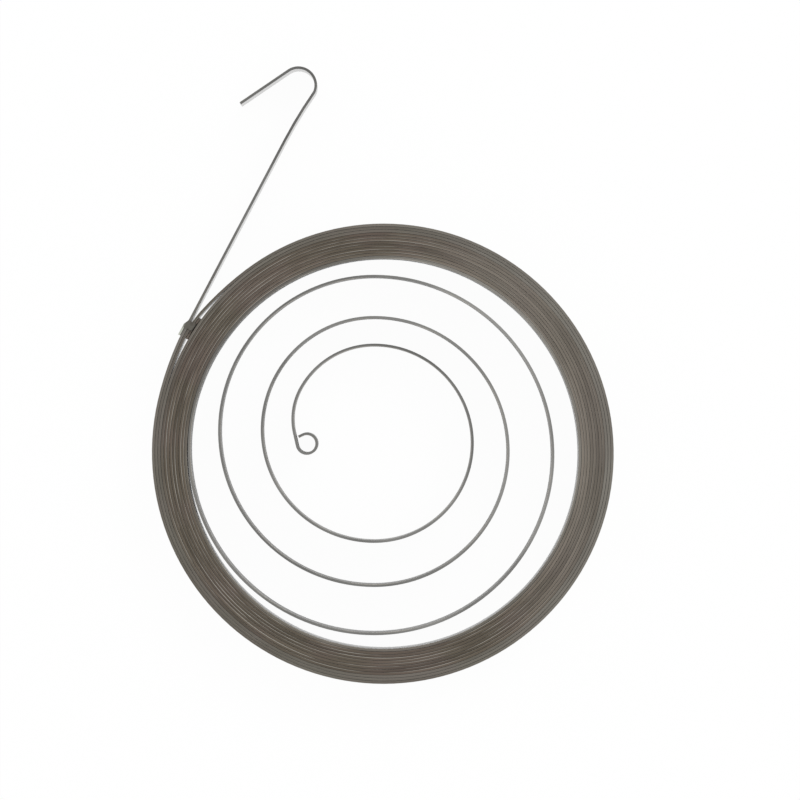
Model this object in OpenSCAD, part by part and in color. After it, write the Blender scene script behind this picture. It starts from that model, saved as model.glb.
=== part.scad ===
// Recoil starter spring, lying flat as it comes new, with its coil held wound by a small clip.
// One flat steel strip stands on edge: a hooked arm outside, turns packed into a round coil,
// free turns that shrink towards the hub, and a rolled eye at the inner end.
// The coil's axis is Z, and the strip's lower edge lies on the plane z = 0.

/* [Strip] */
// Thickness of the spring strip
strip_t = 0.45; // [0.3:0.05:0.6]
// Width of the strip, which is how high it stands
strip_w = 10; // [6:0.5:16]

/* [Packed coil] */
// Outside diameter of the packed coil
coil_od = 78.8; // [74:0.2:110]
// Whole turns that lie packed
coil_turns = 12; // [4:1:12]
// Clearance between one packed turn and the next
turn_gap = 0.05; // [0.05:0.01:0.1]

/* [Free turns] */
// Place round the coil where the strip leaves it inward, in degrees from +X
leave_angle = 160; // [120:1:200]
// Radius that the strip loses where it leaves the coil
leave_step = 1.7; // [1:0.1:3]
// Radius that it then loses at each half turn on its way to the hub
free_steps = [1.05, 4.1, 3.5, 3.75, 2.35]; // [0.6:0.05:5]

/* [Hub end] */
// Radius of the bend that leads from the last free turn to the neck
inner_r = 14.3; // [10:0.1:20]
// Angle of that bend
inner_turn = 61; // [40:1:80]
// Radius of the neck, where the strip turns in to the eye
neck_r = 10.8; // [6:0.1:14]
// Angle of the neck
neck_turn = 42; // [20:1:60]
// Straight strip between the neck and the eye
eye_lead = 2.2; // [1.8:0.1:6]
// Inside diameter of the rolled eye
eye_d = 2.9; // [1.6:0.1:4]
// Angle that the eye is rolled through
eye_roll = 283; // [272:1:286]
// Straight tip at the end of the eye
eye_tip = 0.75; // [0.2:0.05:0.8]

/* [Arm and hook] */
// Place round the coil where the arm leaves it, in degrees from +X
arm_angle = 152.2; // [140:0.2:165]
// Length of the straight arm
arm_l = 37.5; // [20:0.5:60]
// Radius of the slight lean outward before the hook
lean_r = 77; // [40:1:200]
// Angle of that lean
lean_turn = 7; // [1:1:12]
// Radius of the kink where the hook begins, at the middle of the strip
kink_r = 1.7; // [1:0.1:4]
// Angle of the kink
kink_turn = 18; // [5:1:40]
// Inside radius of the hook
hook_r = 2.75; // [1.5:0.05:6]
// Angle that the hook turns through
hook_turn = 141; // [90:1:150]
// Length of the straight leg behind the hook
hook_leg = 9.9; // [4:0.1:16]

/* [Retaining clip] */
// Thickness of the clip's sheet
clip_t = 0.35; // [0.2:0.05:0.4]
// Angle from the arm's root back to the middle of the clip's inner leg
clip_back = 5.2; // [4:0.2:7]
// Length of the leg between the turns, along the strip
clip_leg_l = 4.2; // [3:0.1:4.4]
// Length of the leg outside the arm, along the strip
clip_outer_l = 3; // [2:0.1:4.2]
// Width of the strap that joins the legs across the top
clip_strap_w = 1.4; // [0.8:0.1:2]
// Height of the legs
clip_h = 8; // [3:0.5:10]
// Clearance between the legs and the strip
clip_gap = 0.07; // [0.05:0.01:0.1]
// Angle from the clip to where the two turns that it lifts begin to come down
crest_half = 9; // [8:0.5:12]
// Angle from the clip to where they lie close again
bulge_half = 20; // [18:0.5:30]

/* [Hidden] */
$fn = 180;

half_t = strip_t / 2;

// Each packed half turn loses half a pitch, so left and right halves have centres a little apart
half_pitch = (strip_t + turn_gap) / 2;
left_y = half_pitch / 2;
coil_r = coil_od / 2 - half_t;
second_r = coil_r - 2 * half_pitch;
in_r = coil_r - 2 * coil_turns * half_pitch;
first_free_r = in_r - leave_step;

// The clip's inner leg lifts the first two turns: a tighter crest, with a flatter flank on each side
clip_angle = arm_angle - clip_back;
sine_ratio = sin(bulge_half) / sin(crest_half);
flank_per_lift = 1 / (1 - cos(bulge_half) - sine_ratio * (1 - cos(crest_half)));
crest_per_lift = (sine_ratio - 1) * flank_per_lift;
// The crest is tighter than the turn inside it, so the room for the leg narrows towards its ends
narrowing = crest_per_lift * pow(clip_leg_l / 2 / coil_r, 2);
lift = (clip_t + 2 * clip_gap - turn_gap) / (1 - narrowing);
flank_more = flank_per_lift * lift;
crest_less = crest_per_lift * lift;
crest_x = crest_less + lift;

// Every other length of strip is a hair slimmer and reaches a little way into its neighbours,
// so that they join as one solid
hair = 0.002;
lap = 0.03;

// The strip's section at a radius
module section(r, slim) {
  less = slim ? hair : 0;
  translate([r - half_t + less, less])
    square([strip_t - 2 * less, strip_w - 2 * less]);
}

// Strip that sets out from the origin along +Y and turns about [-r, 0]; the children go on from its
// end. A turn to the right has a negative radius and a negative angle.
module bend(r, angle, slim) {
  reach = slim ? lap / abs(r) * 180 / PI : 0;
  from = r > 0 ? 0 : 180 + angle;
  translate([-r, 0, 0]) {
    rotate_extrude(angle = abs(angle) + 2 * reach, start = from - reach)
      section(abs(r), slim);
    rotate([0, 0, angle])
      translate([r, 0, 0])
        children();
  }
}

// Straight strip from the origin along +Y; the children go on from its end
module run(length, slim) {
  reach = slim ? lap : 0;
  translate([0, length + reach, 0])
    rotate([90, 0, 0])
      linear_extrude(length + 2 * reach)
        section(0, slim);
  translate([0, length, 0])
    children();
}

// A row of bends, each a radius and an angle, and of straight runs, each a length with no angle
module wind(path, slim_first, i = 0) {
  if (i < len(path)) {
    slim = (i % 2 == 0) == slim_first;
    if (path[i][1] == 0)
      run(path[i][0], slim) wind(path, slim_first, i + 1);
    else
      bend(path[i][0], path[i][1], slim) wind(path, slim_first, i + 1);
  }
}

// The centre of the crest, with X towards the clip
module at_crest() {
  translate([0, left_y, 0])
    rotate([0, 0, clip_angle])
      translate([crest_x, 0, 0])
        children();
}

// Where the arm leaves the first turn, with Y along the strip into the coil
module at_root() {
  at_crest()
    rotate([0, 0, clip_back])
      translate([coil_r - crest_less, 0, 0])
        children();
}

// From the arm's root out to the end of the leg
module arm_and_hook() {
  out = [
    [arm_l, 0],
    [-lean_r, -lean_turn],
    [kink_r, kink_turn],
    [hook_r + half_t, hook_turn],
    [hook_leg, 0],
  ];
  at_root()
    rotate([0, 0, 180])
      wind(out, true);
}

function lost(n) = n == 0 ? 0 : lost(n - 1) + free_steps[n - 1];

// From the arm's root in to the tip of the eye; each left half turn ends at the bottom of the coil
module coil_and_eye() {
  flank_turn = bulge_half - crest_half;
  down_turn = 270 - clip_angle - bulge_half;
  first = [
    [coil_r - crest_less, crest_half - clip_back],
    [coil_r + flank_more, flank_turn],
    [coil_r, down_turn],
    [coil_r - half_pitch, 180],
  ];
  second = [
    [second_r, clip_angle - bulge_half - 90],
    [second_r + flank_more, flank_turn],
    [second_r - crest_less, 2 * crest_half],
    [second_r + flank_more, flank_turn],
    [second_r, down_turn],
    [second_r - half_pitch, 180],
  ];
  packed = [for (n = [4 : 2 * coil_turns - 1]) [coil_r - n * half_pitch, 180]];
  leaving = [[in_r, leave_angle - 90], [first_free_r, 270 - leave_angle]];
  free = [for (n = [1 : len(free_steps)]) [first_free_r - lost(n), 180]];
  hub_end = [[inner_r, inner_turn], [neck_r, neck_turn], [eye_lead, 0]];
  eye = [[eye_d / 2 + half_t, eye_roll], [eye_tip, 0]];
  at_root()
    wind(concat(first, second, packed, leaving, free, hub_end, eye), false);
}

module spring_strip() {
  color([0.45, 0.44, 0.41]) {
    arm_and_hook();
    coil_and_eye();
  }
}

// To a thousandth, so that the clip's pieces meet face to face
function held(v) = round(v * 1000) / 1000;

// The inner leg follows the lifted turn, the outer leg lies along the arm, and a strap joins them
module retaining_clip() {
  leg_out_r = second_r - crest_less - half_t - clip_gap;
  leg_in_r = leg_out_r - clip_t;
  leg_turn = clip_leg_l / leg_out_r * 180 / PI;
  leg_far = -clip_back - leg_turn / 2;
  outer_x = held(coil_r - crest_less + half_t + clip_gap);
  far_y = held(leg_out_r * sin(-clip_back + leg_turn / 2) - clip_outer_l);
  strap_x = held(leg_in_r * cos(leg_far));
  color([0.66, 0.67, 0.62])
    at_crest()
      rotate([0, 0, clip_back])
        translate([0, 0, strip_w]) {
          translate([0, 0, -clip_h])
            rotate_extrude(angle = leg_turn, start = leg_far)
              translate([leg_in_r, 0])
                square([clip_t, clip_h]);
          translate([outer_x, far_y, -clip_h])
            cube([clip_t, clip_outer_l, clip_h]);
          translate([strap_x, far_y, 0])
            cube([outer_x - strap_x, clip_strap_w, clip_t]);
          translate([outer_x, far_y + clip_strap_w, 0])
            rotate([90, 0, 0])
              rotate_extrude(angle = 90)
                square([clip_t, clip_strap_w]);
        }
}

spring_strip();
retaining_clip();
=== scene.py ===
"""Recoil starter spring: one strip of spring steel wound on edge, and the clip that holds the coil."""

import math
from collections import namedtuple

import bpy
from bpy.props import (
    FloatProperty,
    FloatVectorProperty,
    IntProperty,
    PointerProperty,
)
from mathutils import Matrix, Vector, noise


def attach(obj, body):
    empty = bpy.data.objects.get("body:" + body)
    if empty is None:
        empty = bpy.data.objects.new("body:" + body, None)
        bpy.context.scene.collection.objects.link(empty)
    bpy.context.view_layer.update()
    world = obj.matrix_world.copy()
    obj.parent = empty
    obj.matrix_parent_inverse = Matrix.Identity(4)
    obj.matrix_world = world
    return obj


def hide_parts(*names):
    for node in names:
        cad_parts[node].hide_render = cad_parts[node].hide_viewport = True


bl_info = {
    "name": "Recoil starter spring",
    "version": (1, 0, 0),
    "blender": (4, 5, 0),
    "location": "View3D > Sidebar > Spring",
    "description": "Winds a recoil starter spring and folds the clip that holds its coil",
    "category": "Object",
}

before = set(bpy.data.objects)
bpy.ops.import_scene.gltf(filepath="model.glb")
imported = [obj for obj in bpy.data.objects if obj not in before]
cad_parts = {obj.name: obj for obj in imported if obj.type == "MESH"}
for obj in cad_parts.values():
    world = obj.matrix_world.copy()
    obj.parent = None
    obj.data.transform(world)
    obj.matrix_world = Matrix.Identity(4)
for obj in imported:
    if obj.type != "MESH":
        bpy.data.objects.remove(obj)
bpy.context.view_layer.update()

BODY = "root"
MM = 0.001
# Decimals that a length is shown with
DIGITS = 5
WHITE = (1, 1, 1, 1)

# What the meshes keep for their materials
RUN_MAP = "along_and_round"
CUT_EDGE = "cut_edge"
LIP = "lip"
# The painted highlight on the clip's outer leg, kept on its mesh
OUTER_LEG_LIT = "rubbed"

# Steps that round a corner of the strip or a fold of the clip, and rows of faces up a leg of the clip
CORNER_STEPS = 3
FOLD_STEPS = 5
LEG_ROWS = 5
# Edges of the clip that turn more sharply than this are dressed
SHARP = math.radians(50)

# Numbers of sockets, where a node has several of one name or its first isn't the one wanted
MIX_FACTOR, MIX_FIRST, MIX_SECOND, MIX_RESULT = 0, 6, 7, 2
OBJECT_PLACE = 3
ATTRIBUTE_VALUE = 2
DOT_RESULT = 1

# Noise cells in a metre: along the strip and round its section, or along each axis
TURN_CELLS = (21, 0, 0)
STREAK_CELLS = (45, 5200, 0)
RUB_AND_SHEEN_CELLS = (55, 900, 0)
OIL_CELLS = 95
PIT_CELLS = 5200
CLOUD_CELLS = 900
DRAWN_CELLS = (9000, 9000, 700)

# Levels of that noise between which a pattern goes from none to full
DRIFT_SPAN = (0.36, 0.64)
STREAK_SPAN = (0.3, 0.7)
RUB_AND_SHEEN_SPAN = (0.42, 0.62)
OIL_SPAN = (0.4, 0.62)
CLOUD_SPAN = (0.35, 0.68)
# The same for the lip of a corner, where it is burnished and painted with a highlight band, and for the
# clip's outer leg, which is painted with a highlight
LIP_SPAN = (0.66, 1)
HIGHLIGHT_SPAN = (0.35, 0.95)
# How much painted highlight the outer leg gets where the strap joins it, when its far end gets it fully
LEAST_LIT = 0.15

# The outer turns, between the two spans below, carry the grey edge, a painted sheen
# Turns in from the arm's root between which the cut edge is bare no more, and then browned
BARE_SPAN = (-0.1, 0.05)
BROWN_SPAN = (2.6, 3.3)
# Turns past the imported coil's inner end between which it pales, loses its brown and is bare again
PALE_SPAN = (-3.6, -0.6)
LAST_GREY_SPAN = (-1.2, -0.5)
FREE_SPAN = (-0.5, 0.3)
# The same for the faces, which grow dull along the last packed turn
DULL_SPAN = (-1.0, 0.1)
# The side towards which the edges pale, and metres from the coil's axis between which they do so
PALE_SIDE = (0.97, 0.26, 0)
SIDE_SPAN = (0.008, 0.028)

# Turns in from the arm's root to where the strip rides on its neighbours, and how often it does so
RIDE_FROM = 2.2
RISES_PER_TURN = 2.6
SWAYS_PER_TURN = 4.3
# Lines through the noise that the two are read along
RISE_LINE = 3.1
SWAY_LINE = 8.7

Station = namedtuple("Station", "x y heading run")
Rim = namedtuple("Rim", "across up out_across out_up round cut_edge lip")
Bulge = namedtuple("Bulge", "lift flank_more crest_less")
ClipPlan = namedtuple(
    "ClipPlan", "leg_r leg_low leg_high outer_x outer_low outer_high strap_high fold_r shoulder foot"
)


def length(name, description, millimetres):
    """A length that a user may change, given in millimetres and kept in metres."""
    return FloatProperty(
        name=name,
        description=description,
        default=millimetres * MM,
        min=0,
        unit="LENGTH",
        precision=DIGITS,
    )


def angle(name, description, degrees):
    """An angle that a user may change, given in degrees."""
    return FloatProperty(
        name=name, description=description, default=math.radians(degrees), subtype="ANGLE"
    )


def share(name, description, value):
    """A share from 0 to 1 that a user may change."""
    return FloatProperty(
        name=name, description=description, default=value, min=0, max=1, subtype="FACTOR"
    )


def tone(name, description, rgb):
    """A colour that a user may change."""
    return FloatVectorProperty(
        name=name, description=description, default=rgb, min=0, max=1, size=3, subtype="COLOR"
    )


class StripSizes(bpy.types.PropertyGroup):
    """Sizes of the flat strip."""

    thickness: length("Thickness", "Thickness of the spring strip", 0.45)
    width: length("Width", "Width of the strip, which is how high it stands", 10)
    corner: length("Corner", "Radius of the strip's dressed corners", 0.03)
    fine: angle("Fineness", "Angle between one cross-section and the next in a bend", 2.5)
    straight: length("Straight fineness", "Length between cross-sections where it is straight", 3)
    rise: length("Rise", "How far a packed turn may ride up on its neighbours", 0.16)
    sway: length("Sway", "How far a packed turn may lie in or out of its place", 0.014)


class CoilSizes(bpy.types.PropertyGroup):
    """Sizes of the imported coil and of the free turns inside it."""

    outside: length("Outside", "Outside diameter of the packed coil", 78.8)
    turns: IntProperty(
        name="Turns", description="Whole turns that lie packed", default=12, min=4, max=12
    )
    gap: length("Gap", "Clearance between one packed turn and the next", 0.05)
    leave_angle: angle("Leaves at", "Place where the strip leaves the coil inward, from +X", 160)
    leave_step: length("Leaving step", "Radius that the strip loses where it leaves", 1.7)
    free_steps: FloatVectorProperty(
        name="Free steps",
        description="Radius that the strip loses at each half turn on its way to the hub",
        default=[step * MM for step in (1.05, 4.1, 3.5, 3.75, 2.35)],
        size=5,
        unit="LENGTH",
        precision=DIGITS,
    )


class HubSizes(bpy.types.PropertyGroup):
    """Sizes of the inner end."""

    inner_r: length("Inner bend", "Radius of the bend from the last free turn to the neck", 14.3)
    inner_turn: angle("Inner angle", "Angle of that bend", 61)
    neck_r: length("Neck", "Radius of the neck, where the strip turns in to the eye", 10.8)
    neck_turn: angle("Neck angle", "Angle of the neck", 42)
    lead: length("Lead", "Straight strip between the neck and the eye", 2.2)
    eye: length("Eye", "Inside diameter of the rolled eye", 2.9)
    eye_roll: angle("Eye angle", "Angle that the eye is rolled through", 283)
    tip: length("Tip", "Straight tip at the end of the eye", 0.75)


class ArmSizes(bpy.types.PropertyGroup):
    """Sizes of the arm and its hook."""

    leaves_at: angle("Leaves at", "Place round the coil where the arm leaves it, from +X", 152.2)
    straight: length("Straight", "Length of the straight arm", 37.5)
    lean_r: length("Lean", "Radius of the slight lean outward before the hook", 77)
    lean_turn: angle("Lean angle", "Angle of that lean", 7)
    kink_r: length("Kink", "Radius of the kink where the hook begins", 1.7)
    kink_turn: angle("Kink angle", "Angle of the kink", 18)
    hook_r: length("Hook", "Inside radius of the hook", 2.75)
    hook_turn: angle("Hook angle", "Angle that the hook turns through", 141)
    leg: length("Leg", "Length of the straight leg behind the hook", 9.9)


class ClipSizes(bpy.types.PropertyGroup):
    """Sizes of the retaining clip and of the bulge that it makes in the coil."""

    sheet: length("Sheet", "Thickness of the clip's sheet", 0.35)
    back: angle("Back", "Angle from the arm's root back to the middle of the inner leg", 5.2)
    leg: length("Inner leg", "Length of the leg between the turns, along the strip", 4.2)
    outer: length("Outer leg", "Length of the leg outside the arm, along the strip", 3)
    strap: length("Strap", "Width of the strap that joins the legs across the top", 1.4)
    height: length("Height", "Height of the legs", 8)
    gap: length("Gap", "Clearance between the legs and the strip", 0.07)
    fold: length("Fold", "Inside radius of the two folds", 0.08)
    dressed: length("Dressed edge", "Width of the edges where they are dressed", 0.058)
    trim: length("Trim", "How far the outer leg's upper corner is cut back", 0.9)
    splay: length("Splay", "How far the end of the outer leg stands off", 0.03)
    flare: angle("Flare", "Angle that the outer leg leans out", 0.3)
    crest_half: angle("Crest", "Angle from the clip to where the lifted turns come down", 9)
    bulge_half: angle("Bulge", "Angle from the clip to where they lie close again", 20)


class SteelLook(bpy.types.PropertyGroup):
    """Colours of the spring steel and of the clip."""

    # Each pale tone below is used where a turn's own drift runs high, on the inner turns and towards
    # the right side
    brown_dark: tone("Dark brown edge", "Oiled cut edge of the packed turns", (0.049, 0.036, 0.026))
    brown_pale: tone("Pale brown edge", "The same edge where it is rubbed", (0.190, 0.154, 0.119))
    # The grey edge is painted light on the outer turns: the paler sheen they catch at their own height
    # and angle
    grey_dark: tone("Dark grey edge", "Clean cut edge of the outer turns", (0.116, 0.107, 0.092))
    grey_pale: tone("Pale grey edge", "The same edge where it is rubbed", (0.240, 0.226, 0.200))
    bare_dark: tone("Dark bare edge", "Cut edge of the arm and the free turns", (0.090, 0.089, 0.085))
    bare_pale: tone("Pale bare edge", "The same edge where it is rubbed", (0.300, 0.297, 0.284))
    olive: tone("Olive patch", "Oil that has gone olive", (0.092, 0.079, 0.053))
    mauve: tone("Mauve patch", "Oil that has gone mauve", (0.114, 0.084, 0.069))
    wall_dark: tone("Dark streak", "Rolled face, in a streak", (0.250, 0.246, 0.238))
    wall_pale: tone("Pale streak", "Rolled face, between streaks", (0.390, 0.386, 0.376))
    # Burnished corners, with the painted highlight lines laid on them as well
    burnish_and_highlight: tone("Burnish", "Rubbed corners", (0.420, 0.392, 0.345))
    clip_dull: tone("Dull clip", "Oiled face of the clip", (0.112, 0.105, 0.088))
    clip_edge: tone("Clip edge", "Sheared edge of the clip", (0.130, 0.106, 0.085))
    clip_dark: tone("Dark clip", "Oiled clip where it is darkest", (0.040, 0.031, 0.026))
    # A painted highlight for the light that the clip's outer leg catches
    clip_highlight: tone("Bright clip", "Outer leg of the clip, where it is rubbed", (0.470, 0.480, 0.420))


class StageLook(bpy.types.PropertyGroup):
    """Floor, light and camera."""

    floor: tone("Floor", "Colour of the floor", (0.93, 0.93, 0.925))
    floor_half: length("Floor half width", "Half the width of the floor", 3000)
    glow: share("Glow", "How much of the floor is seen as even white", 0.965)
    sky: FloatProperty(name="Sky", description="Strength of the even light", default=0.85, min=0)
    key: FloatProperty(
        name="Key", description="Power of the soft lamp", default=4.5, min=0, unit="POWER"
    )
    key_size: length("Key size", "Side of the soft lamp", 700)
    key_place: FloatVectorProperty(
        name="Key place",
        description="Where the soft lamp stands",
        default=(0.55, 0.65, 0.95),
        size=3,
        subtype="TRANSLATION",
        unit="LENGTH",
    )
    camera_x: length("Camera right", "Where the camera stands to the right of the coil", 2.796)
    camera_y: length("Camera forward", "Where the camera stands forward of the coil", 9.012)
    camera_height: length("Camera height", "Height of the camera over the strip", 1270)
    view_width: length("View width", "Width of the view at the strip's upper edge", 136.054)


class SpringSettings(bpy.types.PropertyGroup):
    """Everything that a user may change."""

    strip: PointerProperty(type=StripSizes)
    coil: PointerProperty(type=CoilSizes)
    hub: PointerProperty(type=HubSizes)
    arm: PointerProperty(type=ArmSizes)
    clip: PointerProperty(type=ClipSizes)
    steel: PointerProperty(type=SteelLook)
    stage: PointerProperty(type=StageLook)


class Wire:
    """A socket that takes part in arithmetic: each operator adds a Math node."""

    def __init__(self, recipe, socket):
        self.recipe = recipe
        self.socket = socket

    def _math(self, operation, first, second):
        return self.recipe.add("ShaderNodeMath", {"operation": operation}, {0: first, 1: second})[0]

    def __add__(self, other):
        return self._math("ADD", self, other)

    __radd__ = __add__

    def __sub__(self, other):
        return self._math("SUBTRACT", self, other)

    def __rsub__(self, other):
        return self._math("SUBTRACT", other, self)

    def __mul__(self, other):
        return self._math("MULTIPLY", self, other)

    __rmul__ = __mul__

    def most(self, other):
        """The greater of the two."""
        return self._math("MAXIMUM", self, other)


class Recipe:
    """The nodes of one material or of the world."""

    def __init__(self, owner):
        owner.use_nodes = True
        self.tree = owner.node_tree
        self.tree.nodes.clear()

    def add(self, kind, settings=None, inputs=None):
        """Adds a node, sets it up, feeds its sockets and returns its outputs."""
        node = self.tree.nodes.new(kind)
        for name, value in (settings or {}).items():
            setattr(node, name, value)
        for name, value in (inputs or {}).items():
            if isinstance(value, Wire):
                self.tree.links.new(value.socket, node.inputs[name])
            else:
                node.inputs[name].default_value = value
        return [Wire(self, socket) for socket in node.outputs]

    def mix(self, amount, first, second):
        """Goes from the first colour to the second."""
        return self.add(
            "ShaderNodeMix",
            {"data_type": "RGBA"},
            {MIX_FACTOR: amount, MIX_FIRST: rgba(first), MIX_SECOND: rgba(second)},
        )[MIX_RESULT]

    def stretch(self, vector, scale):
        """A vector scaled along each axis."""
        return self.add("ShaderNodeVectorMath", {"operation": "MULTIPLY"}, {0: vector, 1: scale})[0]

    def grain(self, vector, cells, detail=4, roughness=0.6):
        """Soft noise from 0 to 1, with so many cells in a metre, alike or its own along each axis."""
        if isinstance(cells, tuple):
            vector, cells = self.stretch(vector, cells), 1
        return self.add(
            "ShaderNodeTexNoise",
            {"noise_dimensions": "3D", "normalize": True},
            {"Vector": vector, "Scale": cells, "Detail": detail, "Roughness": roughness},
        )[0]

    def between(self, value, low, high):
        """0 below low, 1 above high, and smooth between them."""
        return self.add(
            "ShaderNodeMapRange",
            {"interpolation_type": "SMOOTHSTEP"},
            {"Value": value, "From Min": low, "From Max": high},
        )[0]

    def attribute(self, name):
        """A value kept on the mesh."""
        return self.add("ShaderNodeAttribute", {"attribute_name": name})[ATTRIBUTE_VALUE]

    def where(self):
        """The place on the object, in metres."""
        return self.add("ShaderNodeTexCoord")[OBJECT_PLACE]

    def finish(self, shader, kind="ShaderNodeOutputMaterial"):
        """Leads a shader to the output."""
        self.add(kind, None, {"Surface": shader})


def rgba(colour):
    """A colour as a socket takes it."""
    return colour if isinstance(colour, Wire) else (*colour, 1)


def new_material(name):
    """A fresh material and the recipe of its nodes."""
    material = bpy.data.materials.new(name)
    return material, Recipe(material)


def pitch(spring):
    """Distance from one packed turn to the next."""
    return spring.strip.thickness + spring.coil.gap


def coil_radius(spring):
    """Radius of the outermost turn, at the middle of the strip."""
    return spring.coil.outside / 2 - spring.strip.thickness / 2


def outer_turn(spring):
    """Length of a turn round the outside of the coil, in which places along the strip are told."""
    return math.pi * spring.coil.outside


def packed_length(spring):
    """Length of the strip that lies packed."""
    coil = spring.coil
    return math.pi * coil.turns * (coil.outside - coil.turns * pitch(spring))


def bulge(spring):
    """How the clip's inner leg changes the radii of the two turns that it lifts."""
    clip = spring.clip
    sine_ratio = math.sin(clip.bulge_half) / math.sin(clip.crest_half)
    fall = 1 - math.cos(clip.bulge_half) - sine_ratio * (1 - math.cos(clip.crest_half))
    crest_per_lift = (sine_ratio - 1) / fall
    # The crest is tighter than the turn inside it, so the room for the leg narrows towards its ends
    narrowing = crest_per_lift * (clip.leg / 2 / coil_radius(spring)) ** 2
    lift = (clip.sheet + 2 * clip.gap - spring.coil.gap) / (1 - narrowing)
    return Bulge(lift, lift / fall, lift * crest_per_lift)


def crest_centre(spring):
    """The centre of the crest that the clip makes.

    The left halves of the turns, where it lies, have their centre a quarter of a pitch above the axis.
    """
    lifted = bulge(spring)
    towards = spring.arm.leaves_at - spring.clip.back
    reach = lifted.crest_less + lifted.lift
    return reach * math.cos(towards), pitch(spring) / 4 + reach * math.sin(towards)


def crest_radius(spring):
    """Radius of the crest in the outermost turn, where the arm has its root."""
    return coil_radius(spring) - bulge(spring).crest_less


def packed_and_free(spring):
    """The bends from the arm's root in to the tip of the eye, each a radius and an angle."""
    strip, coil, hub, arm, clip = spring.strip, spring.coil, spring.hub, spring.arm, spring.clip
    half_pitch = pitch(spring) / 2
    coil_r = coil_radius(spring)
    second_r = coil_r - 2 * half_pitch
    in_r = coil_r - 2 * coil.turns * half_pitch
    quarter, half = math.pi / 2, math.pi
    clip_angle = arm.leaves_at - clip.back
    _, flank_more, crest_less = bulge(spring)
    flank_turn = clip.bulge_half - clip.crest_half
    down_turn = 3 * quarter - clip_angle - clip.bulge_half

    path = [
        (coil_r - crest_less, clip.crest_half - clip.back),
        (coil_r + flank_more, flank_turn),
        (coil_r, down_turn),
        (coil_r - half_pitch, half),
        (second_r, clip_angle - clip.bulge_half - quarter),
        (second_r + flank_more, flank_turn),
        (second_r - crest_less, 2 * clip.crest_half),
        (second_r + flank_more, flank_turn),
        (second_r, down_turn),
        (second_r - half_pitch, half),
    ]
    path += [(coil_r - n * half_pitch, half) for n in range(4, 2 * coil.turns)]

    free_r = in_r - coil.leave_step
    path += [(in_r, coil.leave_angle - quarter), (free_r, 3 * quarter - coil.leave_angle)]
    for step in coil.free_steps:
        free_r -= step
        path.append((free_r, half))
    path += [(hub.inner_r, hub.inner_turn), (hub.neck_r, hub.neck_turn), (hub.lead, 0)]
    path += [(hub.eye / 2 + strip.thickness / 2, hub.eye_roll), (hub.tip, 0)]
    return path


def arm_and_hook(spring):
    """The bends from the arm's root out to the end of the leg."""
    arm = spring.arm
    return [
        (arm.straight, 0),
        (-arm.lean_r, -arm.lean_turn),
        (arm.kink_r, arm.kink_turn),
        (arm.hook_r + spring.strip.thickness / 2, arm.hook_turn),
        (arm.leg, 0),
    ]


def walk(path, x, y, heading, strip):
    """Places and headings along a row of bends and straight runs, a straight one with no angle."""
    places = [(x, y, heading)]
    for size, turn in path:
        if turn == 0:
            count = math.ceil(size / strip.straight)
            for _ in range(count):
                x += size / count * math.cos(heading)
                y += size / count * math.sin(heading)
                places.append((x, y, heading))
            continue
        count = max(2, math.ceil(abs(turn) / strip.fine))
        middle_x = x - size * math.sin(heading)
        middle_y = y + size * math.cos(heading)
        for _ in range(count):
            heading += turn / count
            x = middle_x + size * math.sin(heading)
            y = middle_y - size * math.cos(heading)
            places.append((x, y, heading))
    return places


def strip_line(spring):
    """Stations along the strip's middle from the hook's leg to the eye, and the arm's length."""
    leaves_at = spring.arm.leaves_at
    root_r = crest_radius(spring)
    x, y = crest_centre(spring)
    x += root_r * math.cos(leaves_at)
    y += root_r * math.sin(leaves_at)
    into_coil = leaves_at + math.pi / 2
    outward = walk(arm_and_hook(spring), x, y, into_coil - math.pi, spring.strip)
    inward = walk(packed_and_free(spring), x, y, into_coil, spring.strip)
    places = [(px, py, heading + math.pi) for px, py, heading in reversed(outward[1:])] + inward
    stations, run = [], 0
    for i, (px, py, heading) in enumerate(places):
        if i:
            run += math.dist(places[i - 1][:2], (px, py))
        stations.append(Station(px, py, heading, run))
    return stations, stations[len(outward) - 1].run


def strip_section(strip, inset=0.0):
    """The strip's cross-section as a ring of points, from the seam under its lower edge."""
    radius = strip.corner - inset
    reach_across = strip.thickness / 2 - strip.corner
    reach_up = strip.width / 2 - strip.corner
    rims, round_length = [], 0
    for side, (across, up) in enumerate([(1, -1), (1, 1), (-1, 1), (-1, -1)]):
        for step in range(CORNER_STEPS + 1):
            turned = (side - 1 + step / CORNER_STEPS) * math.pi / 2
            out_across, out_up = math.cos(turned), math.sin(turned)
            place = (across * reach_across + radius * out_across, up * reach_up + radius * out_up)
            if rims:
                round_length += math.dist(place, (rims[-1].across, rims[-1].up))
            # Inner corners are burnished and painted with a highlight band that spreads over on to the
            # flat edge, and outer ones on their rounding alone
            lip = abs(out_up) if across > 0 else math.sin(2 * turned) ** 2
            rims.append(Rim(*place, out_across, out_up, round_length, out_up**2, lip))
    return rims


def limited(value):
    """A value held between 0 and 1."""
    return min(max(value, 0), 1)


def gather(stations, root_run, spring):
    """How far each station's strip rides up and lies aside, as packed turns do."""
    strip = spring.strip
    turn_length = outer_turn(spring)
    begins = root_run + RIDE_FROM * turn_length
    ends = root_run + packed_length(spring)
    fade = turn_length / 2
    for station in stations:
        held = limited((station.run - begins) / fade) * limited((ends - station.run) / fade)
        turn = station.run / turn_length
        high = 0.5 + 0.5 * noise.noise(Vector((turn * RISES_PER_TURN, RISE_LINE, 0)))
        aside = noise.noise(Vector((turn * SWAYS_PER_TURN, 0, SWAY_LINE)))
        yield held * high * strip.rise, held * aside * strip.sway


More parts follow.
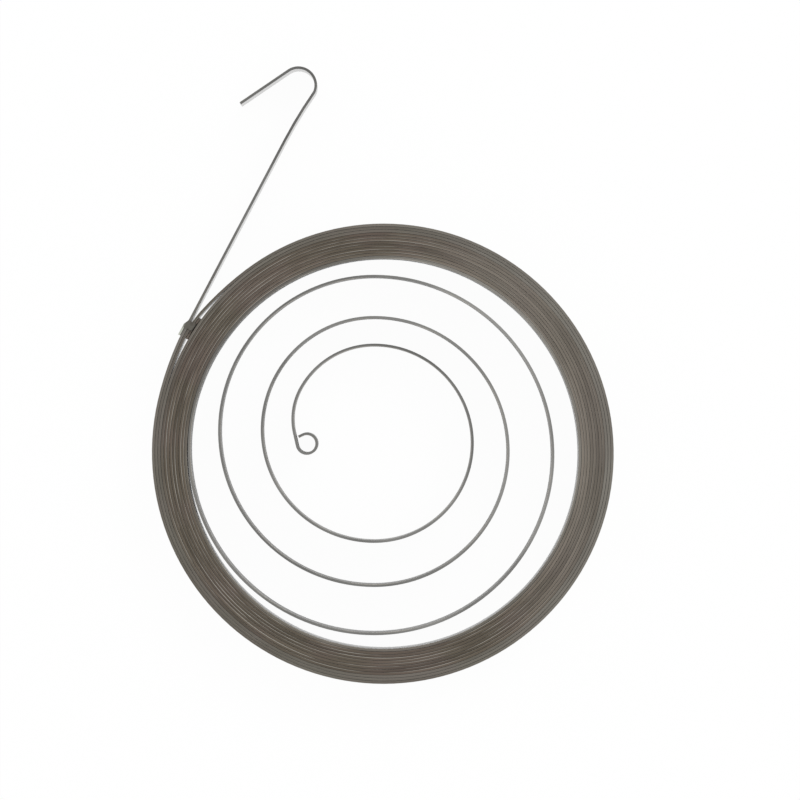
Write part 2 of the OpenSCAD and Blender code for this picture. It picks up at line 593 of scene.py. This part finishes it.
def wind_mesh(spring):
    """Sweeps the strip's section along its line into one closed mesh."""
    strip = spring.strip
    stations, root_run = strip_line(spring)
    whole, trimmed = strip_section(strip), strip_section(strip, strip.corner / 2)
    ring = len(whole)
    total_round = whole[-1].round + (whole[0].across - whole[-1].across)
    last = len(stations) - 1

    points, outs, runs = [], [], []
    end_dress = strip.corner / 2
    for i, (station, (rise, sway)) in enumerate(zip(stations, gather(stations, root_run, spring))):
        forward = Vector((math.cos(station.heading), math.sin(station.heading), 0))
        left = Vector((-forward.y, forward.x, 0))
        middle = Vector((station.x, station.y, strip.width / 2 + rise)) + sway * left
        dressed = [(0, whole, 0)]
        if i == 0:
            dressed = [(0, trimmed, -1), (end_dress, whole, 0)]
        elif i == last:
            dressed = [(-end_dress, whole, 0), (0, trimmed, 1)]
        for shift, rims, facing in dressed:
            centre = middle + shift * forward
            runs.append(station.run + shift)
            for rim in rims:
                points.append(centre + rim.across * left + Vector((0, 0, rim.up)))
                out = rim.out_across * left + Vector((0, 0, rim.out_up)) + facing * forward
                outs.append(out.normalized())

    rings = len(runs)
    faces, normals, places = [], [], []
    for i in range(rings - 1):
        for j in range(ring):
            k = (j + 1) % ring
            corners = (i * ring + j, i * ring + k, (i + 1) * ring + k, (i + 1) * ring + j)
            far_round = whole[k].round if k else total_round
            rounds = (whole[j].round, far_round, far_round, whole[j].round)
            faces.append(corners)
            normals += [outs[c] for c in corners]
            places += [(runs[c // ring], around) for c, around in zip(corners, rounds)]
    for i, ahead in ((0, -1), (rings - 1, 1)):
        heading = stations[0 if i == 0 else last].heading
        out = ahead * Vector((math.cos(heading), math.sin(heading), 0))
        order = range(ring) if ahead > 0 else range(ring - 1, -1, -1)
        faces.append([i * ring + j for j in order])
        normals += [out] * ring
        places += [(runs[i], whole[j].round) for j in order]

    mesh = bpy.data.meshes.new("spring_strip_wound")
    mesh.from_pydata(points, [], faces)
    mesh.uv_layers.new(name=RUN_MAP).data.foreach_set("uv", [c for place in places for c in place])
    for name, values in (
        (CUT_EDGE, [rim.cut_edge for rim in whole]),
        (LIP, [rim.lip for rim in whole]),
    ):
        mesh.attributes.new(name, "FLOAT", "POINT").data.foreach_set("value", values * rings)
    mesh.shade_smooth()
    mesh.normals_split_custom_set(normals)
    return mesh, root_run


def spring_steel(spring, root_run):
    """Oiled spring steel: streaked rolled faces, brown cut edges, and corners that are burnished and
    painted with highlight lines.
    """
    steel = spring.steel
    turn_length = outer_turn(spring)
    packed_end = root_run + packed_length(spring)

    material, recipe = new_material("spring_steel")
    place = recipe.add("ShaderNodeUVMap", {"uv_map": RUN_MAP})[0]
    run = recipe.add("ShaderNodeSeparateXYZ", None, {0: place})[0]
    where = recipe.where()
    across_coil = recipe.add(
        "ShaderNodeVectorMath", {"operation": "DOT_PRODUCT"}, {0: where, 1: PALE_SIDE}
    )[DOT_RESULT]
    cut_edge = recipe.attribute(CUT_EDGE)
    # Where on the section the corners are burnished and carry the painted highlight band
    lip = recipe.between(recipe.attribute(LIP), *LIP_SPAN)

    def along(start, span):
        """Grows over a span of turns that are counted from a place along the strip."""
        return recipe.between(run, *(start + turns * turn_length for turns in span))

    # Each turn has its own tone, which drifts along it; the inner turns and the right side are paler
    drift = recipe.between(recipe.grain(place, TURN_CELLS), *DRIFT_SPAN)
    paler = along(packed_end, PALE_SPAN)
    right = recipe.between(across_coil, *SIDE_SPAN)
    turn_tone = 0.55 * drift + 0.15 * paler + 0.26 * right
    streaks = recipe.grain(place, STREAK_CELLS)
    # Where along the strip the corners are burnished and carry the painted highlight band
    rubbed = recipe.between(recipe.grain(place, RUB_AND_SHEEN_CELLS), *RUB_AND_SHEEN_SPAN)
    patch = recipe.grain(where, OIL_CELLS, detail=3, roughness=0.55)
    pits = recipe.grain(where, PIT_CELLS, detail=2, roughness=0.5)

    # Oil has browned the imported turns; the outer ones keep a grey edge, painted for the paler light
    # they catch at their own height and angle, the last one is grey as well, and the rest is bare
    inside = along(root_run, BROWN_SPAN)
    browned = inside * (1 - along(packed_end, LAST_GREY_SPAN))
    bared = along(packed_end, FREE_SPAN).most(1 - along(root_run, BARE_SPAN))

    # The cut edge is brown, grey or bare, each with its tones, and has less brown and less of the oil
    # tones towards the right side
    oil = recipe.mix(recipe.between(patch, *OIL_SPAN), steel.olive, steel.mauve)
    brown = recipe.mix(turn_tone, steel.brown_dark, steel.brown_pale)
    brown = recipe.mix(0.4 - 0.25 * right, brown, oil)
    # On the outer turns the grey is painted light, the paler sheen that they catch
    grey = recipe.mix(turn_tone, steel.grey_dark, steel.grey_pale)
    grey = recipe.mix(0.3 - 0.2 * right, grey, oil)
    bare = recipe.mix(turn_tone, steel.bare_dark, steel.bare_pale)
    grey_and_bare = recipe.mix(bared, grey, bare)
    edge = recipe.mix(browned * (1 - 0.4 * right), grey_and_bare, brown)

    # The rolled faces are streaked, and the corners are burnished and painted with highlight lines,
    # most of all inside the coil
    wall = recipe.mix(recipe.between(streaks, *STREAK_SPAN), steel.wall_dark, steel.wall_pale)
    wall = recipe.mix(0.15 * browned, wall, oil)
    colour = recipe.mix(cut_edge, wall, edge)
    # Fewer corner lines towards the right side, apart from the inner turns
    fewer_lines_right = 0.6 * right * (1 - paler)
    worn_and_lit = lip * rubbed * (0.2 + 0.6 * inside) * (1 - fewer_lines_right)
    colour = recipe.mix(worn_and_lit, colour, steel.burnish_and_highlight)

    # The faces that look on to the hub are duller than those that rub together
    dull_wall = along(packed_end, DULL_SPAN) * (1 - cut_edge)
    roughness = 0.13 + 0.15 * streaks + 0.22 * cut_edge + 0.38 * dull_wall - 0.1 * worn_and_lit
    metallic = 0.95 - 0.2 * cut_edge * browned - 0.4 * dull_wall
    film = 0.1 + 0.25 * patch * browned
    relief = recipe.add(
        "ShaderNodeBump",
        None,
        {"Strength": 0.2, "Distance": 0.01 * MM, "Height": streaks + 0.4 * pits},
    )[0]
    shader = recipe.add(
        "ShaderNodeBsdfPrincipled",
        None,
        {
            "Base Color": colour,
            "Roughness": roughness,
            "Metallic": metallic,
            "Coat Weight": film,
            "Coat Roughness": 0.25,
            "Normal": relief,
        },
    )[0]
    recipe.finish(shader)
    return material


def clip_plan(spring):
    """Where the clip's sheet lies, seen from the centre of the crest with X towards the arm's root."""
    strip, clip = spring.strip, spring.clip
    half_t, half_sheet = strip.thickness / 2, clip.sheet / 2
    root_r = crest_radius(spring)
    leg_out_r = root_r - pitch(spring) - half_t - clip.gap
    leg_r = leg_out_r - half_sheet
    leg_turn = clip.leg / leg_out_r
    outer_high = leg_out_r * math.sin(leg_turn / 2 - clip.back)
    outer_low = outer_high - clip.outer
    fold_r = clip.fold + half_sheet
    return ClipPlan(
        leg_r=leg_r,
        leg_low=leg_r * math.sin(-clip.back - leg_turn / 2),
        leg_high=leg_r * math.sin(-clip.back + leg_turn / 2),
        outer_x=root_r + half_t + clip.gap + half_sheet,
        outer_low=outer_low,
        outer_high=outer_high,
        strap_high=outer_low + clip.strap,
        fold_r=fold_r,
        shoulder=strip.width + half_sheet - fold_r,
        foot=strip.width - clip.height,
    )


def clip_rows(clip, plan):
    """Rows across the sheet, from the inner leg's foot over the strap to the outer leg's foot.

    Each row is the part of the clip that it lies in, and a function from y to its x and z there.
    """

    def leg_x(y):
        return math.sqrt(plan.leg_r**2 - y**2)

    def off(y):
        return clip.splay * (y - plan.outer_low) / clip.outer

    def fold_z(turned):
        return plan.shoulder + plan.fold_r * math.sin(turned)

    def leg_row(z):
        return "leg", lambda y: (leg_x(y), z)

    def inner_fold_row(turned):
        return "strap", lambda y: (leg_x(y) + plan.fold_r * (1 - math.cos(turned)), fold_z(turned))

    def outer_fold_row(turned):
        bent = math.cos(turned)
        fold_x = plan.outer_x - plan.fold_r * (1 - bent)
        return "strap", lambda y: (fold_x + off(y) * bent, fold_z(turned))

    def outer_row(z):
        lean = (plan.shoulder - z) * math.tan(clip.flare)
        return "outer", lambda y: (plan.outer_x + off(y) + lean, z)

    leg = plan.shoulder - plan.foot
    heights = [plan.foot + leg * row / LEG_ROWS for row in range(LEG_ROWS + 1)]
    turns = [math.pi / 2 * step / FOLD_STEPS for step in range(1, FOLD_STEPS + 1)]
    return [
        *map(leg_row, heights),
        *map(inner_fold_row, turns),
        *map(outer_fold_row, reversed(turns)),
        *map(outer_row, reversed(heights)),
    ]


def clip_mesh(spring):
    """The middle surface of the clip's sheet, folded over two turns of the strip."""
    clip = spring.clip
    plan = clip_plan(spring)
    rows = clip_rows(clip, plan)
    spans = {
        "leg": (plan.leg_low, plan.leg_high),
        "strap": (plan.outer_low, plan.strap_high),
        "outer": (plan.outer_low, plan.outer_high),
    }
    ends = {end for span in spans.values() for end in span}
    columns = sorted(ends | {(plan.leg_low + plan.outer_low) / 2})

    leaves_at = spring.arm.leaves_at
    centre_x, centre_y = crest_centre(spring)
    cosine, sine = math.cos(leaves_at), math.sin(leaves_at)
    points, index, faces, rubbed = [], {}, [], []

    def point(row, column):
        if (row, column) not in index:
            y = columns[column]
            x, z = rows[row][1](y)
            outward = limited((x - plan.outer_x) / plan.fold_r + 1)
            if y == plan.outer_low:
                y += outward * clip.trim
            from_strap = (y - plan.outer_low) / clip.outer
            # The outer leg and the outside of its fold get the painted highlight, growing towards the
            # leg's far end
            rubbed.append(outward * (LEAST_LIT + (1 - LEAST_LIT) * from_strap))
            index[row, column] = len(points)
            points.append((centre_x + x * cosine - y * sine, centre_y + x * sine + y * cosine, z))
        return index[row, column]

    # A column at the end of a span is in it, whatever its last digit
    slack = 1e-7
    for row in range(len(rows) - 1):
        kinds = {rows[row][0], rows[row + 1][0]}
        low, high = spans["strap"] if "strap" in kinds else spans[kinds.pop()]
        for column in range(len(columns) - 1):
            if columns[column] > low - slack and columns[column + 1] < high + slack:
                around = ((row, column), (row, column + 1), (row + 1, column + 1), (row + 1, column))
                faces.append([point(*place) for place in around])
    mesh = bpy.data.meshes.new("retaining_clip_folded")
    mesh.from_pydata(points, [], faces)
    mesh.attributes.new(OUTER_LEG_LIT, "FLOAT", "POINT").data.foreach_set("value", rubbed)
    mesh.shade_smooth()
    return mesh


def clip_steel(spring, name, face):
    """Clip steel: oiled and dull, with a painted highlight on its outer leg, the side that catches the
    light.
    """
    steel = spring.steel
    material, recipe = new_material(name)
    where = recipe.where()
    cloud = recipe.between(recipe.grain(where, CLOUD_CELLS), *CLOUD_SPAN)
    marks = recipe.grain(where, DRAWN_CELLS, detail=3)
    # The painted highlight on the outer leg, broken up by the drawn marks and the cloud
    leg_highlight = recipe.between(recipe.attribute(OUTER_LEG_LIT) + 0.5 * marks - 0.2 * cloud, *HIGHLIGHT_SPAN)
    oiled = recipe.mix(0.6 * cloud, face, steel.clip_dark)
    colour = recipe.mix(leg_highlight, oiled, steel.clip_highlight)
    relief = recipe.add(
        "ShaderNodeBump", None, {"Strength": 0.3, "Distance": 0.02 * MM, "Height": marks}
    )[0]
    shader = recipe.add(
        "ShaderNodeBsdfPrincipled",
        None,
        {
            "Base Color": colour,
            "Roughness": 0.42 + 0.15 * marks - 0.14 * leg_highlight,
            "Metallic": 0.75 + 0.2 * leg_highlight,
            "Coat Weight": 0.2 - 0.2 * leg_highlight,
            "Coat Roughness": 0.3,
            "Normal": relief,
        },
    )[0]
    recipe.finish(shader)
    return material


def place_piece(name, mesh, materials, node):
    """Shows a mesh as the piece that stands for a node of the frame."""
    piece = bpy.data.objects.new(name, mesh)
    bpy.context.scene.collection.objects.link(piece)
    for material in materials:
        mesh.materials.append(material)
    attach(piece, BODY)
    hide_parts(node)
    return piece


def seen_white(recipe):
    """1 for what the camera, a reflection or a clear body shows, and 0 for the light on things."""
    rays = {wire.socket.name: wire for wire in recipe.add("ShaderNodeLightPath")}
    return rays["Is Camera Ray"].most(rays["Is Glossy Ray"]).most(rays["Is Transmission Ray"])


def white_floor(stage):
    """A white floor that is seen almost evenly lit and still takes the shadow."""
    material, recipe = new_material("white_floor")
    matt = recipe.add("ShaderNodeBsdfDiffuse", None, {"Color": rgba(stage.floor)})[0]
    even = recipe.add("ShaderNodeEmission", None, {"Color": WHITE, "Strength": 1})[0]
    shader = recipe.add(
        "ShaderNodeMixShader", None, {0: stage.glow * seen_white(recipe), 1: matt, 2: even}
    )[0]
    recipe.finish(shader)
    return material


class SPRING_OT_wind_strip(bpy.types.Operator):
    """Wind the spring strip from its hook to its eye"""

    bl_idname = "recoil_spring.wind_strip"
    bl_label = "Wind the strip"

    def execute(self, context):
        spring = context.scene.recoil_spring
        mesh, root_run = wind_mesh(spring)
        place_piece(
            "spring_strip_wound", mesh, [spring_steel(spring, root_run)], "spring_strip"
        )
        return {"FINISHED"}


class SPRING_OT_fold_clip(bpy.types.Operator):
    """Fold the retaining clip over the outer turns"""

    bl_idname = "recoil_spring.fold_clip"
    bl_label = "Fold the clip"

    def execute(self, context):
        spring = context.scene.recoil_spring
        piece = place_piece(
            "retaining_clip_folded",
            clip_mesh(spring),
            [
                clip_steel(spring, "clip_sheet", spring.steel.clip_dull),
                clip_steel(spring, "clip_sheared_edge", spring.steel.clip_edge),
            ],
            "retaining_clip",
        )
        sheet = piece.modifiers.new("sheet", "SOLIDIFY")
        sheet.thickness = spring.clip.sheet
        sheet.offset = 0
        sheet.material_offset_rim = 1
        dressed = piece.modifiers.new("dressed_edges", "BEVEL")
        dressed.width = spring.clip.dressed
        dressed.segments = 2
        dressed.limit_method = "ANGLE"
        dressed.angle_limit = SHARP
        dressed.harden_normals = True
        return {"FINISHED"}


class SPRING_OT_set_stage(bpy.types.Operator):
    """Lay the floor, light it and stand the camera over the spring"""

    bl_idname = "recoil_spring.set_stage"
    bl_label = "Set the stage"

    def execute(self, context):
        scene = context.scene
        stage = scene.recoil_spring.stage
        self.lay_floor(scene, stage)
        self.light(scene, stage)
        self.stand_camera(scene, stage)
        scene.view_settings.view_transform = "Standard"
        return {"FINISHED"}

    @staticmethod
    def lay_floor(scene, stage):
        mesh = bpy.data.meshes.new("floor")
        half = stage.floor_half
        mesh.from_pydata(
            [(-half, -half, 0), (half, -half, 0), (half, half, 0), (-half, half, 0)], [], [(0, 1, 2, 3)]
        )
        mesh.materials.append(white_floor(stage))
        floor = bpy.data.objects.new("floor", mesh)
        scene.collection.objects.link(floor)

    @staticmethod
    def light(scene, stage):
        scene.world = bpy.data.worlds.new("soft_room")
        recipe = Recipe(scene.world)
        seen = seen_white(recipe)
        sky = recipe.add(
            "ShaderNodeBackground",
            None,
            {"Color": WHITE, "Strength": stage.sky + (1 - stage.sky) * seen},
        )[0]
        recipe.finish(sky, "ShaderNodeOutputWorld")

        lamp = bpy.data.lights.new("key", "AREA")
        lamp.energy = stage.key
        lamp.size = stage.key_size
        key = bpy.data.objects.new("key", lamp)
        key.location = stage.key_place
        key.rotation_euler = (-key.location).to_track_quat("-Z", "Y").to_euler()
        scene.collection.objects.link(key)

    @staticmethod
    def stand_camera(scene, stage):
        eye = bpy.data.cameras.new("camera")
        eye.lens = eye.sensor_width * stage.camera_height / stage.view_width
        # Far enough for the whole floor from any side
        eye.clip_end = 6 * stage.floor_half
        camera = bpy.data.objects.new("camera", eye)
        upper = scene.recoil_spring.strip.width
        camera.location = (stage.camera_x, stage.camera_y, stage.camera_height + upper)
        scene.collection.objects.link(camera)
        scene.camera = camera


class SPRING_PT_sidebar(bpy.types.Panel):
    """Steps and sizes of the spring"""

    bl_idname = "SPRING_PT_sidebar"
    bl_label = "Recoil starter spring"
    bl_space_type = "VIEW_3D"
    bl_region_type = "UI"
    bl_category = "Spring"

    def draw(self, context):
        spring = context.scene.recoil_spring
        for step in STEPS:
            self.layout.operator(step.bl_idname)
        for part in spring.__annotations__:
            group = getattr(spring, part)
            box = self.layout.box()
            for name in group.__annotations__:
                box.prop(group, name)


STEPS = (SPRING_OT_wind_strip, SPRING_OT_fold_clip, SPRING_OT_set_stage)
CLASSES = (
    StripSizes,
    CoilSizes,
    HubSizes,
    ArmSizes,
    ClipSizes,
    SteelLook,
    StageLook,
    SpringSettings,
    *STEPS,
    SPRING_PT_sidebar,
)


def register():
    for cls in CLASSES:
        bpy.utils.register_class(cls)
    bpy.types.Scene.recoil_spring = PointerProperty(type=SpringSettings)


def unregister():
    del bpy.types.Scene.recoil_spring
    for cls in reversed(CLASSES):
        bpy.utils.unregister_class(cls)


def main():
    register()
    bpy.ops.recoil_spring.wind_strip()
    bpy.ops.recoil_spring.fold_clip()
    bpy.ops.recoil_spring.set_stage()


if __name__ == "__main__":
    main()
